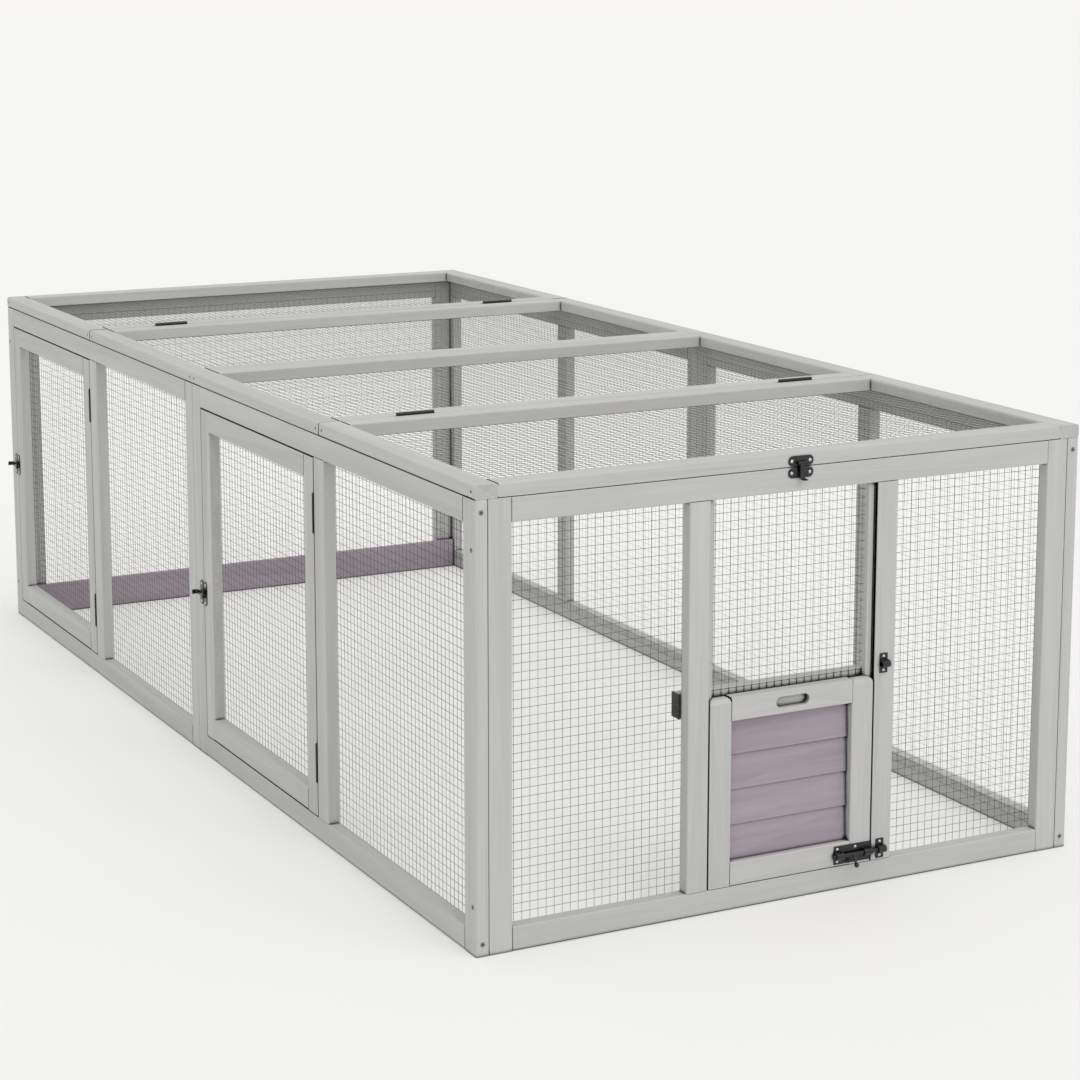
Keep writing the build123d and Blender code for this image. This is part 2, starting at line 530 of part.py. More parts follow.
def barrel_bolt():
    """The bolt on the pop door's foot, and the two keepers on the post for the shut and the raised door."""
    plate_y = (POP_Y[1] - 1 - BOLT_PLATE_LENGTH, POP_Y[1] - 1)
    plate_z = (BOLT_HEIGHT - BOLT_PLATE_HEIGHT / 2, BOLT_HEIGHT + BOLT_PLATE_HEIGHT / 2)
    plate = block((HALF_L, HALF_L + PLATE_THICKNESS), plate_y, plate_z)
    bore = BOLT_RADIUS + RUNNING_CLEARANCE
    wall = BOLT_HOUSING - bore
    guides = ((plate_y[1] - BOLT_FRONT_GUIDE, plate_y[1]), (plate_y[0], plate_y[0] + BOLT_BACK_GUIDE))
    for guide_y in guides:
        plate += tunnel(guide_y, BOLT_HEIGHT, bore, wall)
    add("pop_door_bolt_plate", plate)
    keeper_y = (POST_FACE_Y[1] + KEEPER_OFFSET, POST_FACE_Y[1] + KEEPER_OFFSET + KEEPER_WIDTH)
    rod_y = (plate_y[0] - BOLT_TAIL, keeper_y[0] - BOLT_TIP_GAP)
    axis_x = HALF_L + BOLT_STAND_OFF
    rod = Pos(axis_x, (rod_y[0] + rod_y[1]) / 2, BOLT_HEIGHT) * Rot(90, 0, 0) * Cylinder(
        BOLT_RADIUS, rod_y[1] - rod_y[0])
    rod = chamfer(rod.edges().group_by(Axis.Y)[-1], 0.6)
    knob = Location((axis_x, plate_y[0] + KNOB_POSITION, BOLT_HEIGHT), (0, KNOB_TURN, 0))
    rod += knob * (Pos(0, 0, KNOB_STEM_LENGTH / 2) * Cylinder(KNOB_STEM, KNOB_STEM_LENGTH))
    rod += knob * (Pos(0, 0, KNOB_STEM_LENGTH) * Sphere(KNOB_RADIUS))
    add("pop_door_bolt", rod)
    for y in (plate_y[0] + PLATE_SCREW_INSET, (plate_y[0] + plate_y[1]) / 2 + PLATE_SCREW_INSET):
        for way in (-1, 1):
            z = BOLT_HEIGHT + way * (BOLT_PLATE_HEIGHT / 2 - KEEPER_SCREW_INSET)
            add("pop_door_screws", domed_screw((HALF_L + PLATE_THICKNESS, y, z), (1, 0, 0)))
    for height in (BOLT_HEIGHT, BOLT_HEIGHT + POP_TRAVEL):
        z = (height - KEEPER_HEIGHT / 2, height + KEEPER_HEIGHT / 2)
        keeper = block((HALF_L, HALF_L + PLATE_THICKNESS), keeper_y, z)
        add("bolt_keepers", keeper + tunnel(keeper_y, height, BOLT_RADIUS + KEEPER_CLEARANCE, KEEPER_WALL))
        for way in (-1, 1):
            at = (HALF_L + PLATE_THICKNESS, sum(keeper_y) / 2, height + way * (KEEPER_HEIGHT / 2 - KEEPER_SCREW_INSET))
            add("keeper_screws", domed_screw(at, (1, 0, 0)))


def frame_screws():
    """The screws that join stiles to rails at the corners, and side frames to end frames."""
    for end in (-1, 1):
        for side in (-1, 1):
            for z in (RAIL / 2, WALL_HEIGHT - RAIL / 2):
                at = (end * HALF_L, side * (HALF_W - THICKNESS / 2), z)
                add("frame_screws", countersunk_screw(at, (end, 0, 0)))
            for z in (CORNER_SCREW_INSET, WALL_HEIGHT - CORNER_SCREW_INSET):
                at = (end * (HALF_L - THICKNESS / 2), side * HALF_W, z)
                add("frame_screws", countersunk_screw(at, (0, side, 0)))


def drill(screw_node, *holders):
    """Cuts the holes of a node's screws in the pieces of the nodes that hold them."""
    for name in holders:
        drilled = []
        for piece in nodes[name]:
            room = piece.bounding_box()
            for screw in nodes[screw_node]:
                if room.overlaps(screw.bounding_box()):
                    piece = piece - screw
            drilled.append(piece)
        nodes[name] = drilled


for front in (BAY, 0.0):
    side_frame("near", NEAR_Y, front)
    side_frame("far", FAR_Y, front)
    side_nets(front)
pop_end()
back_end()
for section_x in ((0.0, SPLIT_X - HINGE_GAP / 2), (-SPLIT_X + HINGE_GAP / 2, 0.0)):
    roof_section(("fixed_roof_side_rails", "fixed_roof_cross_rails"), "fixed_roof_mesh", section_x, ROOF_Z)
    roof_pins("roof_pins", section_x, ROOF_Z)
side_door("front_door", BAY, FRONT_LATCH_HEIGHT)
side_door("rear_door", 0.0, REAR_LATCH_HEIGHT)
roof_lid("front_lid", 1)
roof_lid("rear_lid", -1)
pop_door()
frame_screws()
drill("frame_screws", "near_side_stiles", "far_side_stiles", "end_stiles")
drill("keeper_screws", "near_side_stiles", "pop_end_posts", "pop_end_rails", "back_end_rails", "latch_keepers",
      "bolt_keepers")
drill("roof_pins", "fixed_roof_side_rails", "fixed_roof_cross_rails")
drill("pop_door_screws", "pop_door_frame", "pop_door_bolt_plate")
for moving in ("front_door", "rear_door", "front_lid", "rear_lid"):
    drill(f"{moving}_screws", f"{moving}_frame", f"{moving}_latch_plate")

os.makedirs("parts", exist_ok=True)
for node_name, shapes in nodes.items():
    solids = [solid for shape in shapes for solid in shape.solids()]
    export_step(solids[0] if len(solids) == 1 else Compound(children=solids), f"parts/{node_name}.step")
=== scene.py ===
import json
import logging
import math
from dataclasses import dataclass
from enum import Enum

import bpy
import numpy as np
from mathutils import Euler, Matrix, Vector

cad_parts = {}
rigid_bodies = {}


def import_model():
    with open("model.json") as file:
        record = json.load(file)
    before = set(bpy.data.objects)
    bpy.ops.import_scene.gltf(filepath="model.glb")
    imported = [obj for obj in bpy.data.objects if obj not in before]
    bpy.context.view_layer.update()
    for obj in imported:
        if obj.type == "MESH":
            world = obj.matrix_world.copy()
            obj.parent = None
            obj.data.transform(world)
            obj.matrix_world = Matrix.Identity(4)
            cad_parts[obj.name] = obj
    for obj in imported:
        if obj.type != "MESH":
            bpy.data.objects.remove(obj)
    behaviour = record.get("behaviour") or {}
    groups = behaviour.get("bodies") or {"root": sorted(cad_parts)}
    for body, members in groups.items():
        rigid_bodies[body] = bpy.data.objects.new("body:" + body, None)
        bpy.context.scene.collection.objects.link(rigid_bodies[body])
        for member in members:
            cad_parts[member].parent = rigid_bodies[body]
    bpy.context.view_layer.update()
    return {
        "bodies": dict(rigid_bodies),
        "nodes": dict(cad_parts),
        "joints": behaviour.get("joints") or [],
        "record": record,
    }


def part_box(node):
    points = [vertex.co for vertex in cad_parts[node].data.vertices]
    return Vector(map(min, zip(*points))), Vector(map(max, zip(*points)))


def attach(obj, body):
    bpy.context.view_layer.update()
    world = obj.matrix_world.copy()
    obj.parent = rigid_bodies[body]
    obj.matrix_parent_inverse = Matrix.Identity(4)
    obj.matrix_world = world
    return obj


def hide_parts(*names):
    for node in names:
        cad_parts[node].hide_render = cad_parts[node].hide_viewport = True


LOG = logging.getLogger("chicken_run")
FRAME: dict = {}
Socket = bpy.types.NodeSocket
Value = Socket | float | tuple
Corners = tuple[np.ndarray, np.ndarray]
NUMBER, VECTOR, COLOUR = "NodeSocketFloat", "NodeSocketVector", "NodeSocketColor"


class Axis(Enum):
    """An axis of the run: X along it, Y across it, Z up."""

    X = 0
    Y = 1
    Z = 2


@dataclass(frozen=True)
class CameraPose:
    """The camera of the photograph, in metres, degrees and pixels of a square picture.

    Args:
        place: where the camera stands.
        turn: its turn about the upright axis.
        tilt: how far it looks down.
        focal_px: the focal length in pixels.
        rise_px: how far the picture's middle is moved up the run.
        frame_px: the side of the picture.
        sensor_mm: the side of the sensor.
    """

    place: tuple = (4.1888, -2.0151, 1.3600)
    turn: float = 62.618
    tilt: float = 9.889
    focal_px: float = 2680.8
    rise_px: float = 130.0
    frame_px: float = 1080.0
    sensor_mm: float = 36.0


@dataclass(frozen=True)
class Paint:
    """The colours and surface of painted timber, as linear colours.

    Args:
        light: the paint's colour between the streaks of the grain.
        dark: its colour in the streaks.
        roughness: its middle roughness.
        grain_depth: the strength of the grain's relief.
    """

    light: tuple
    dark: tuple
    roughness: float = 0.62
    grain_depth: float = 0.35


@dataclass(frozen=True)
class Metal:
    """The colour and surface of a coated or bare metal.

    Args:
        colour: the linear colour.
        metallic: 1 for bare metal, 0 for a full coat.
        roughness: the middle roughness.
        coat: the weight of a clear coat.
    """

    colour: tuple
    metallic: float
    roughness: float
    coat: float = 0.0


GREY_PAINT = Paint(light=(0.555, 0.553, 0.548), dark=(0.465, 0.463, 0.459))
TINTED_STAIN = Paint(light=(0.405, 0.345, 0.392), dark=(0.315, 0.262, 0.300), grain_depth=0.5)
WIRE = Metal(colour=(0.10, 0.10, 0.102), metallic=0.3, roughness=0.45)
BLACK_COAT = Metal(colour=(0.006, 0.006, 0.007), metallic=0.0, roughness=0.24, coat=0.1)
BRIGHT_ZINC = Metal(colour=(0.62, 0.62, 0.64), metallic=1.0, roughness=0.28)
DARK_ZINC = Metal(colour=(0.06, 0.06, 0.062), metallic=0.7, roughness=0.45)
DULL_ZINC = Metal(colour=(0.34, 0.34, 0.345), metallic=0.8, roughness=0.5)
LATCH_SCREW_REACH = 0.1
LID_SCREW_METALLIC = 0.9
COAT_ROUGHNESS = 0.2
POP_DOOR_STILE = 0.043
FAR_NETS = ("far_side_mesh", "back_end_mesh")
FAR_WIRE_RADIUS = 0.00015


class NodeTree:
    """A short way to make shader nodes and join them.

    Args:
        tree: the node tree that they go into.
    """

    def __init__(self, tree: bpy.types.NodeTree) -> None:
        """Keeps the tree."""
        self.tree = tree

    def add(self, kind: str, inputs: dict | None = None, **settings: object) -> bpy.types.Node:
        """Adds a node.

        Args:
            kind: the node's Blender name.
            inputs: each input's constant, or the output socket that feeds it, by name or number.
            settings: the node's own settings.

        Returns:
            The node.
        """
        node = self.tree.nodes.new(kind)
        for key, value in settings.items():
            setattr(node, key, value)
        self.feed(node, inputs or {})
        return node

    def feed(self, node: bpy.types.Node, inputs: dict) -> None:
        """Sets a node's inputs.

        Args:
            node: the node.
            inputs: each input's constant, or the output socket that feeds it, by name or number.
        """
        for key, value in inputs.items():
            if isinstance(value, Socket):
                self.tree.links.new(value, node.inputs[key])
            else:
                node.inputs[key].default_value = value

    def maths(self, operation: str, *values: Value) -> Socket:
        """The result of a maths node."""
        return self.add("ShaderNodeMath", dict(enumerate(values)), operation=operation).outputs[0]

    def product(self, *values: Value) -> Socket:
        """All the values multiplied."""
        result = values[0]
        for value in values[1:]:
            result = self.maths("MULTIPLY", result, value)
        return result

    def mix_value(self, factor: Value, first: Value, second: Value) -> Socket:
        """The number between two, by a factor."""
        return self.add("ShaderNodeMix", {0: factor, 2: first, 3: second}, data_type="FLOAT").outputs[0]

    def mix_vector(self, factor: Value, first: Value, second: Value) -> Socket:
        """The vector between two, by a factor."""
        return self.add("ShaderNodeMix", {0: factor, 4: first, 5: second}, data_type="VECTOR").outputs[1]

    def mix_colour(self, factor: Value, first: Value, second: Value) -> Socket:
        """The colour between two, by a factor."""
        return self.add("ShaderNodeMix", {0: factor, 6: first, 7: second}, data_type="RGBA").outputs[2]

    def scaled(self, vector: Value, factor: Value) -> Socket:
        """A vector or colour times a number."""
        return self.add("ShaderNodeVectorMath", {0: vector, 3: factor}, operation="SCALE").outputs[0]

    def noise(self, vector: Value, scale: float, detail: float = 4.0, roughness: float = 0.55) -> Socket:
        """The value of a noise texture."""
        inputs = {"Vector": vector, "Scale": scale, "Detail": detail, "Roughness": roughness}
        return self.add("ShaderNodeTexNoise", inputs).outputs["Fac"]

    def spread(self, value: Value, low: float, high: float, start: Value = 0.0, end: Value = 1.0) -> Socket:
        """The value from low to high, spread from start to end and clamped."""
        inputs = {"Value": value, "From Min": low, "From Max": high, "To Min": start, "To Max": end}
        return self.add("ShaderNodeMapRange", inputs).outputs["Result"]

    def place(self) -> Socket:
        """The object coordinates."""
        return self.add("ShaderNodeTexCoord").outputs["Object"]

    def part(self, vector: Value, axis: Axis) -> Socket:
        """One part of a vector."""
        return self.add("ShaderNodeSeparateXYZ", {0: vector}).outputs[axis.value]


class MaterialTree(NodeTree):
    """A new material and its nodes.

    Args:
        name: the material's name.
    """

    def __init__(self, name: str) -> None:
        """Makes the material."""
        self.material = bpy.data.materials.new(name)
        self.material.use_nodes = True
        super().__init__(self.material.node_tree)
        self.surface = self.tree.nodes["Principled BSDF"]

    def bump(self, strength: float, distance: float, height: Value) -> Socket:
        """The normal of a relief."""
        inputs = {"Strength": strength, "Distance": distance, "Height": height}
        return self.add("ShaderNodeBump", inputs).outputs[0]


class GroupTree(NodeTree):
    """A new shader node group.

    Args:
        name: the group's name.
        inputs: the kind of each named input.
        outputs: the kind of each named output.
    """

    def __init__(self, name: str, inputs: dict[str, str], outputs: dict[str, str]) -> None:
        """Makes the group with its sockets."""
        super().__init__(bpy.data.node_groups.new(name, "ShaderNodeTree"))
        for direction, sockets in (("INPUT", inputs), ("OUTPUT", outputs)):
            for label, kind in sockets.items():
                self.tree.interface.new_socket(label, in_out=direction, socket_type=kind)
        self.given = self.tree.nodes.new("NodeGroupInput").outputs
        self.result = self.tree.nodes.new("NodeGroupOutput")


@dataclass(frozen=True)
class PaintedGrain:
    """The node group of painted timber: streaks, bands, cracks, painted shade in the seams and mottled ends.

    A noise is its scale, detail and roughness. A range is the part of a noise's values that an effect takes
    up. A shade is how dark and how light the effect gets.
    """

    streak_noise: tuple = (95.0, 6.0, 0.62)
    fibre_noise: tuple = (420.0, 3.0, 0.6)
    band_noise: tuple = (24.0, 2.0)
    mottle_noise: tuple = (330.0, 3.0, 0.7)
    streak_range: tuple = (0.32, 0.72)
    band_range: tuple = (0.3, 0.7)
    crack_range: tuple = (0.22, 0.34)
    painted_seam_range: tuple = (0.48, 0.80)
    mottle_range: tuple = (0.35, 0.65)
    wear_range: tuple = (0.3, 0.7)
    streak_share: float = 0.55
    board_shade: tuple = (0.95, 1.02)
    crack_shade: tuple = (0.88, 1.0)
    painted_seam_shade: tuple = (0.01, 1.0)
    mottle_shade: tuple = (0.84, 1.0)
    relief_share: float = 0.6
    rougher: float = 0.08
    smoother: float = 0.06

    def build(self) -> bpy.types.NodeTree:
        """Builds the group.

        Returns:
            The group. Its colour lies between Dark and Light by the streaks and bands, times the shades of
            the board, the cracks, the ends and the painted shade of the seams, which Openness drives.
        """
        group = GroupTree("painted_grain",
                          {"Grain": VECTOR, "Place": VECTOR, "Board": NUMBER, "End": NUMBER,
                           "Openness": NUMBER, "Light": COLOUR, "Dark": COLOUR, "Roughness": NUMBER},
                          {"Color": COLOUR, "Roughness": NUMBER, "Height": NUMBER})
        given = group.given
        streaks = group.noise(given["Grain"], *self.streak_noise)
        fibres = group.noise(given["Grain"], *self.fibre_noise)
        bands = group.noise(given["Grain"], *self.band_noise)
        tone = group.maths("ADD", group.spread(streaks, *self.streak_range, 0.0, self.streak_share),
                           group.spread(bands, *self.band_range, 0.0, 1.0 - self.streak_share))
        board = group.spread(given["Board"], 0.0, 1.0, *self.board_shade)
        crack = group.spread(fibres, *self.crack_range, *self.crack_shade)
        # Painted shade: where the ambient occlusion is low, in the seams between boards, the colour is darkened
        # almost to black.
        painted_seam = group.spread(given["Openness"], *self.painted_seam_range, *self.painted_seam_shade)
        mottle = group.noise(given["Place"], *self.mottle_noise)
        patches = group.spread(mottle, *self.mottle_range, *self.mottle_shade)
        end = group.mix_value(given["End"], 1.0, patches)
        colour = group.mix_colour(tone, given["Dark"], given["Light"])
        height = group.maths("ADD", group.product(streaks, self.relief_share),
                             group.product(fibres, 1.0 - self.relief_share))
        rough = group.spread(streaks, *self.wear_range,
                             group.maths("ADD", given["Roughness"], self.rougher),
                             group.maths("SUBTRACT", given["Roughness"], self.smoother))
        group.feed(group.result, {"Color": group.scaled(colour, group.product(board, crack, painted_seam, end)),
                                  "Roughness": rough, "Height": height})
        return group.tree


@dataclass(frozen=True)
class UnevenMetal:
    """The node group of metal that is a little duller and rougher in places. A noise is its scale and detail."""

    fine_noise: tuple = (900.0, 3.0)
    broad_noise: tuple = (60.0, 3.0)
    broad_range: tuple = (0.3, 0.7)
    dullness: float = 0.75
    smoother: float = 0.06
    rougher: float = 0.1

    def build(self) -> bpy.types.NodeTree:
        """Builds the group.

        Returns:
            The group. Its colour lies between the duller and the full colour by a broad noise.
        """
        group = GroupTree("uneven_metal", {"Place": VECTOR, "Color": COLOUR, "Roughness": NUMBER},
                          {"Color": COLOUR, "Roughness": NUMBER, "Height": NUMBER})
        given = group.given
        fine = group.noise(given["Place"], *self.fine_noise)
        broad = group.noise(given["Place"], *self.broad_noise)
        rough = group.spread(broad, *self.broad_range,
                             group.maths("SUBTRACT", given["Roughness"], self.smoother),
                             group.maths("ADD", given["Roughness"], self.rougher))
        colour = group.mix_colour(broad, group.scaled(given["Color"], self.dullness), given["Color"])
        group.feed(group.result, {"Color": colour, "Roughness": rough, "Height": fine})
        return group.tree


@dataclass(frozen=True)
class Timber:
    """Painted boards whose grain runs along one axis, or two in a frame of stiles and rails.

    Args:
        node: the CAD node.
        grain: the axis of the boards, or of a frame's rails.
        stile_grain: the axis of a frame's stiles, or None.
        across: the axis along which the stiles lie at both ends of the frame.
        stile: the stiles' width in metres.
        paint: the finish.
        squeeze: how far the grain's axis is shrunk, so that noise turns into streaks.
        board_shift: how far apart the boards' grain is taken from the noise.
        end_facing: how squarely a face looks along the grain to be a sawn end.
        painted_seam_reach: how near another board must be for the painted seam shade to darken a face.
        painted_seam_samples: the rays that look for it.
        relief: the height of the grain.
        specular: the paint's specular level.
    """

    node: str
    grain: Axis
    stile_grain: Axis | None = None
    across: Axis | None = None
    stile: float = 0.036
    paint: Paint = GREY_PAINT
    squeeze: float = 0.045
    board_shift: float = 40.0
    end_facing: float = 0.95
    painted_seam_reach: float = 0.009
    painted_seam_samples: int = 12
    relief: float = 0.0006
    specular: float = 0.3

    def stretched(self, shader: NodeTree, vector: Value, axis: Axis) -> Socket:
        """Coordinates in which the grain's axis is squeezed."""
        scale = [self.squeeze if other is axis else 1.0 for other in Axis]
        return shader.add("ShaderNodeVectorMath", {0: vector, 1: scale}, operation="MULTIPLY").outputs[0]

    def is_stile(self, shader: NodeTree, place: Socket) -> Value:
        """Finds the stiles of a frame.

        Args:
            shader: the material's nodes.
            place: the object coordinates.

        Returns:
            1 on the stiles, which lie further from the middle than half the frame less a stile's width, and
            0 elsewhere.
        """
        if not self.stile_grain:
            return 0.0
        low, high = (corner[self.across.value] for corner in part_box(self.node))
        offset = shader.maths("SUBTRACT", shader.part(place, self.across), (low + high) / 2)
        away = shader.maths("ABSOLUTE", offset)
        return shader.maths("GREATER_THAN", away, (high - low) / 2 - self.stile)

    def grain_vector(self, shader: NodeTree, place: Socket, island: Socket, stile: Value) -> Socket:
        """Works out where the grain's noise is read.

        Args:
            shader: the material's nodes.
            place: the object coordinates.
            island: a random number for each board.
            stile: 1 on the stiles.

        Returns:
            The coordinates, squeezed along each board and shifted by its number.
        """
        grain = self.stretched(shader, place, self.grain)
        if self.stile_grain:
            grain = shader.mix_vector(stile, grain, self.stretched(shader, place, self.stile_grain))
        shift = shader.product(island, self.board_shift)
        return shader.add("ShaderNodeVectorMath", {0: grain, 1: shift}, operation="ADD").outputs[0]

    def is_end(self, shader: NodeTree, stile: Value) -> Socket:
        """Finds the sawn ends.

        Args:
            shader: the material's nodes.
            stile: 1 on the stiles.

        Returns:
            1 where the face looks along the grain, and 0 elsewhere.
        """
        facing = shader.add("ShaderNodeNewGeometry").outputs["True Normal"]
        along = shader.maths("ABSOLUTE", shader.part(facing, self.grain))
        if self.stile_grain:
            upright = shader.maths("ABSOLUTE", shader.part(facing, self.stile_grain))
            along = shader.mix_value(stile, along, upright)
        return shader.maths("GREATER_THAN", along, self.end_facing)

    def material(self, painted_grain: bpy.types.NodeTree) -> bpy.types.Material:
        """Makes the node's paint.

        Args:
            painted_grain: the node group of painted timber.

        Returns:
            The material.
        """
        shader = MaterialTree(f"timber_{self.node}")
        place = shader.place()
        island = shader.add("ShaderNodeNewGeometry").outputs["Random Per Island"]
        stile = self.is_stile(shader, place)
        # Painted shade: the ambient occlusion finds the seams between boards, where the group darkens the paint.
        openness = shader.add("ShaderNodeAmbientOcclusion", {"Distance": self.painted_seam_reach},
                              samples=self.painted_seam_samples)
        grain = shader.add("ShaderNodeGroup", {
            "Grain": self.grain_vector(shader, place, island, stile), "Place": place, "Board": island,
            "End": self.is_end(shader, stile), "Openness": openness.outputs["AO"],
            "Light": (*self.paint.light, 1), "Dark": (*self.paint.dark, 1),
            "Roughness": self.paint.roughness,
        }, node_tree=painted_grain).outputs
        normal = shader.bump(self.paint.grain_depth, self.relief, grain["Height"])
        shader.feed(shader.surface, {"Base Color": grain["Color"], "Roughness": grain["Roughness"],
                                     "Normal": normal, "Specular IOR Level": self.specular})
        return shader.material


@dataclass(frozen=True)
class Fittings:
    """The metals of the screws, the fittings and the wire.

    Args:
        uneven_metal: the node group of uneven metal.
        relief: the height of a metal's unevenness.
        relief_strength: its strength.
    """

    uneven_metal: bpy.types.NodeTree
    relief: float = 0.0002
    relief_strength: float = 0.15

    def material(self, name: str, metal: Metal) -> bpy.types.Material:
        """Makes one metal.

        Args:
            name: the material's name.
            metal: its colour and surface.

        Returns:
            The material.
        """
        shader = MaterialTree(name)
        inputs = {"Place": shader.place(), "Color": (*metal.colour, 1), "Roughness": metal.roughness}
        uneven = shader.add("ShaderNodeGroup", inputs, node_tree=self.uneven_metal).outputs
        normal = shader.bump(self.relief_strength, self.relief, uneven["Height"])
        shader.feed(shader.surface, {"Base Color": uneven["Color"], "Metallic": metal.metallic,
                                     "Roughness": uneven["Roughness"], "Coat Weight": metal.coat,
                                     "Coat Roughness": COAT_ROUGHNESS, "Normal": normal})
        return shader.material

    def lid_screws(self) -> bpy.types.Material:
        """Makes the metal of a lid's screws.

        Returns:
            The material: bright zinc at the latch, near the middle of the lid, and dark zinc on the pins in
            its sides.
        """
        shader = MaterialTree("lid_screws")
        place = shader.place()
        away = shader.maths("ABSOLUTE", shader.part(place, Axis.Y))
        is_pin = shader.maths("GREATER_THAN", away, LATCH_SCREW_REACH)
        colour = shader.mix_colour(is_pin, (*BRIGHT_ZINC.colour, 1), (*DARK_ZINC.colour, 1))
        rough = shader.spread(is_pin, 0.0, 1.0, BRIGHT_ZINC.roughness, DARK_ZINC.roughness)
        height = shader.noise(place, UnevenMetal.fine_noise[0])
        normal = shader.bump(self.relief_strength, self.relief, height)
        shader.feed(shader.surface, {"Base Color": colour, "Metallic": LID_SCREW_METALLIC,
                                     "Roughness": rough, "Normal": normal})
        return shader.material

    def dress(self) -> None:
        """Gives the screws and the black fittings their metals, and paints shade into the frame screws' crosses.
        """
        coats = {"black_hardware": BLACK_COAT, "bright_screws": BRIGHT_ZINC, "dark_screws": DARK_ZINC}
        made = {slot: self.material(slot, metal) for slot, metal in coats.items()}
        for subpart in FRAME["record"]["subparts"]:
            if subpart["material_slot"] in made:
                paint_node(subpart["node"], made[subpart["material_slot"]])
        paint_node("frame_screws", self.material("dull_screws", DULL_ZINC))
        # Painted shade: dark crosses fill the frame screws' recesses, where shade falls.
        CrossRecessShade("frame_screws", "run_frame").build(made["dark_screws"])
        lid_screws = self.lid_screws()
        for side in ("front", "rear"):
            paint_node(f"{side}_lid_screws", lid_screws)


@dataclass(frozen=True)
class WireNet:
    """A welded wire net that takes the place of a CAD net node.

    Args:
        node: the CAD node.
        body: the body that it rides on.
        pitch: the distance from wire to wire, half an inch.
        radius: the wire's radius.
        sides: the sides of each wire's section.
    """

    node: str
    body: str
    pitch: float = 0.0127
    radius: float = 0.00031
    sides: int = 6

    def rows(self, low: np.ndarray, high: np.ndarray) -> list[tuple[int, np.ndarray]]:
        """Works out the wires of one flat net: lines at even distances, both ways, in two layers.

        Args:
            low: the net's lowest corner.
            high: its highest corner.

        Returns:
            For each way, the axis along the wires and the two ends of each wire.
        """
        thin = int(np.argmin(high - low))
        flat = [axis for axis in range(3) if axis != thin]
        middle = (low[thin] + high[thin]) / 2
        result = []
        for layer, (along, across) in enumerate((flat, flat[::-1])):
            count = max(2, round((high[across] - low[across] - 2 * self.radius) / self.pitch))
            places = np.linspace(low[across] + self.radius, high[across] - self.radius, count + 1)
            ends = np.empty((count + 1, 2, 3))
            ends[:, :, along] = low[along], high[along]
            ends[:, :, across] = places[:, None]
            ends[:, :, thin] = middle + (layer - 0.5) * self.radius
            result.append((along, ends))
        return result

    def tubes(self, along: int, ends: np.ndarray) -> tuple[np.ndarray, np.ndarray, np.ndarray]:
        """Rounds a row of wires: each end plus radius times (cos t, sin t) on the two axes across it.

        Args:
            along: the axis along the wires.
            ends: the two ends of each wire.

        Returns:
            The points, the four-cornered side faces and the end faces.
        """
        first, second = (axis for axis in range(3) if axis != along)
        turn = np.arange(self.sides) * (2 * math.pi / self.sides)
        ring = np.zeros((self.sides, 3))
        ring[:, first], ring[:, second] = np.cos(turn) * self.radius, np.sin(turn) * self.radius
        points = (ends[:, :, None, :] + ring).reshape(-1, 3)
        side = np.arange(self.sides)
        after = (side + 1) % self.sides
        quads = np.stack((side, after, after + self.sides, side + self.sides), axis=1)
        caps = np.stack((side[::-1], side + self.sides))
        if along == Axis.Y.value:  # X to Z runs the other way round Y, so the faces are turned to point out
            quads, caps = quads[:, ::-1], caps[:, ::-1]
        starts = np.arange(len(ends))[:, None, None] * (2 * self.sides)
        return points, (starts + quads).reshape(-1, 4), (starts + caps).reshape(-1, self.sides)

    def build(self, material: bpy.types.Material) -> None:
        """Makes the net in the place of its CAD node.

        Args:
            material: the wire's material.
        """
        all_points, faces, total, count = [], [], 0, 0
        for low, high in islands(self.node):
            for along, ends in self.rows(low, high):
                points, quads, caps = self.tubes(along, ends)
                all_points.append(points)
                faces += (quads + total).tolist() + (caps + total).tolist()
                total += len(points)
                count += len(ends)
        mesh = bpy.data.meshes.new(f"{self.node}_wire")
        mesh.from_pydata(np.concatenate(all_points).tolist(), [], faces)
        mesh.shade_smooth()
        mesh.materials.append(material)
        net = bpy.data.objects.new(f"{self.node}_wire", mesh)
        bpy.context.collection.objects.link(net)
        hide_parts(self.node)
        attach(net, self.body)
        LOG.info("%s: %d wires", self.node, count)


